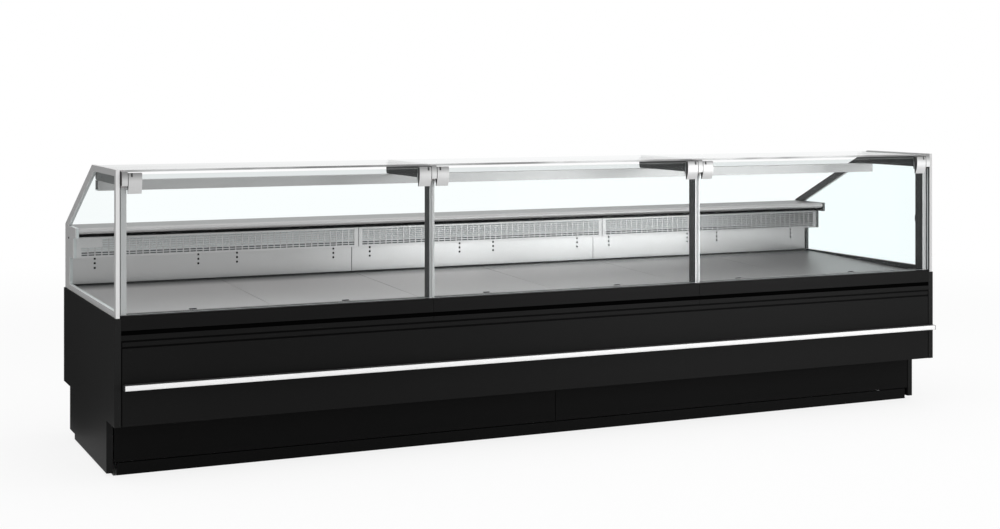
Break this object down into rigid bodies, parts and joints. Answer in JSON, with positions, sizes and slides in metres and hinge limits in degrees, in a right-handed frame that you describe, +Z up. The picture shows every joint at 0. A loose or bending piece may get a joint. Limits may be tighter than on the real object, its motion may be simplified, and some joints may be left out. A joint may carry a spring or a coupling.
{
  "type": "serve-over counter",
  "caption": "Long refrigerated serve-over counter with tilting front glass panes, a glass top shelf, open steel display deck, rear worktop and black panelled base.",
  "frame": {"origin": "on the floor, under the middle of the counter's overall length and depth", "axes": "+X along the length to the right as the customer sees it, +Y from the customer's side to the server's side, +Z up"},
  "size_m": [3.8, 1.118, 1.169],
  "materials": {
    "black_board": "satin black laminate",
    "black_sheet": "satin black",
    "plinth": "matt black laminate",
    "frame_steel": "dark powder coat",
    "foot_plastic": "matt",
    "bumper": "smooth pale",
    "tank_skin": "grey skin on insulating foam",
    "rear_coat": "grey powder coat",
    "display_steel": "satin steel",
    "worktop_steel": "brushed along its length",
    "control": "matt black",
    "rocker": "smooth",
    "coil_aluminium": "plain fins",
    "pipe_copper": "bright copper",
    "fan_plastic": "matt black",
    "drain_plastic": "matt grey",
    "anodised": "satin anodised",
    "clamp_metal": "satin",
    "clear_glass": "clear",
    "diffuser": "opal"
  },
  "bodies": {
    "counter": {"end_panel_left": "black_board", "end_panel_right": "black_board", "base_frame": "frame_steel", "levelling_feet": "foot_plastic", "plinth_front_left": "plinth", "plinth_front_right": "plinth", "plinth_strip": "plinth", "plinth_rear": "plinth", "front_panel": "black_sheet", "trim_strip": "black_sheet", "fascia_1": "black_sheet", "fascia_2": "black_sheet", "fascia_3": "black_sheet", "bumper_rail": "bumper", "tank": "tank_skin", "return_grille": "display_steel", "deck_plate_1": "display_steel", "deck_plate_2": "display_steel", "deck_plate_3": "display_steel", "deck_plate_4": "display_steel", "deck_plate_5": "display_steel", "deck_plate_6": "display_steel", "deck_bearers": "display_steel", "back_panel_1": "display_steel", "back_panel_2": "display_steel", "back_panel_3": "display_steel", "outlet_duct_1": "display_steel", "outlet_duct_2": "display_steel", "outlet_duct_3": "display_steel", "worktop": "worktop_steel", "worktop_support": "frame_steel", "rear_panel": "rear_coat", "control_plate": "control", "evaporator": "coil_aluminium", "pipe_stubs": "pipe_copper", "fan_plate": "display_steel", "drain": "drain_plastic", "end_frame_left": "anodised", "end_frame_right": "anodised", "end_glass_left": "clear_glass", "end_glass_right": "clear_glass", "post_1": "anodised", "post_2": "anodised", "post_3": "anodised", "post_4": "anodised", "top_glass_1": "clear_glass", "top_glass_2": "clear_glass", "top_glass_3": "clear_glass", "lamp_beam": "anodised", "lamp_diffuser": "diffuser"},
    "front_glass_unit_1": {"front_glass_1": "clear_glass", "clamps_1": "clamp_metal"},
    "front_glass_unit_2": {"front_glass_2": "clear_glass", "clamps_2": "clamp_metal"},
    "front_glass_unit_3": {"front_glass_3": "clear_glass", "clamps_3": "clamp_metal"},
    "fan_wheel_1": {"fan_1": "fan_plastic"},
    "fan_wheel_2": {"fan_2": "fan_plastic"},
    "fan_wheel_3": {"fan_3": "fan_plastic"},
    "light_rocker": {"lamp_switch": "rocker"}
  },
  "joints": [
    {"name": "front_glass_1_tilt", "type": "hinge", "parent": "counter", "child": "front_glass_unit_1", "pos_m": [-1.25, -0.527, 1.143], "axis": [-1, 0, 0], "range_deg": [0, 88]},
    {"name": "front_glass_2_tilt", "type": "hinge", "parent": "counter", "child": "front_glass_unit_2", "pos_m": [0, -0.527, 1.143], "axis": [-1, 0, 0], "range_deg": [0, 88]},
    {"name": "front_glass_3_tilt", "type": "hinge", "parent": "counter", "child": "front_glass_unit_3", "pos_m": [1.25, -0.527, 1.143], "axis": [-1, 0, 0], "range_deg": [0, 88]},
    {"name": "fan_1_spin", "type": "hinge", "parent": "counter", "child": "fan_wheel_1", "pos_m": [-1.25, -0.18, 0.414], "axis": [0, 1, 0], "continuous": true},
    {"name": "fan_2_spin", "type": "hinge", "parent": "counter", "child": "fan_wheel_2", "pos_m": [0, -0.18, 0.414], "axis": [0, 1, 0], "continuous": true},
    {"name": "fan_3_spin", "type": "hinge", "parent": "counter", "child": "fan_wheel_3", "pos_m": [1.25, -0.18, 0.414], "axis": [0, 1, 0], "continuous": true},
    {"name": "light_rocker_tilt", "type": "hinge", "parent": "counter", "child": "light_rocker", "pos_m": [1.004, 0.5525, 0.795], "axis": [1, 0, 0], "range_deg": [-8, 8]}
  ]
}
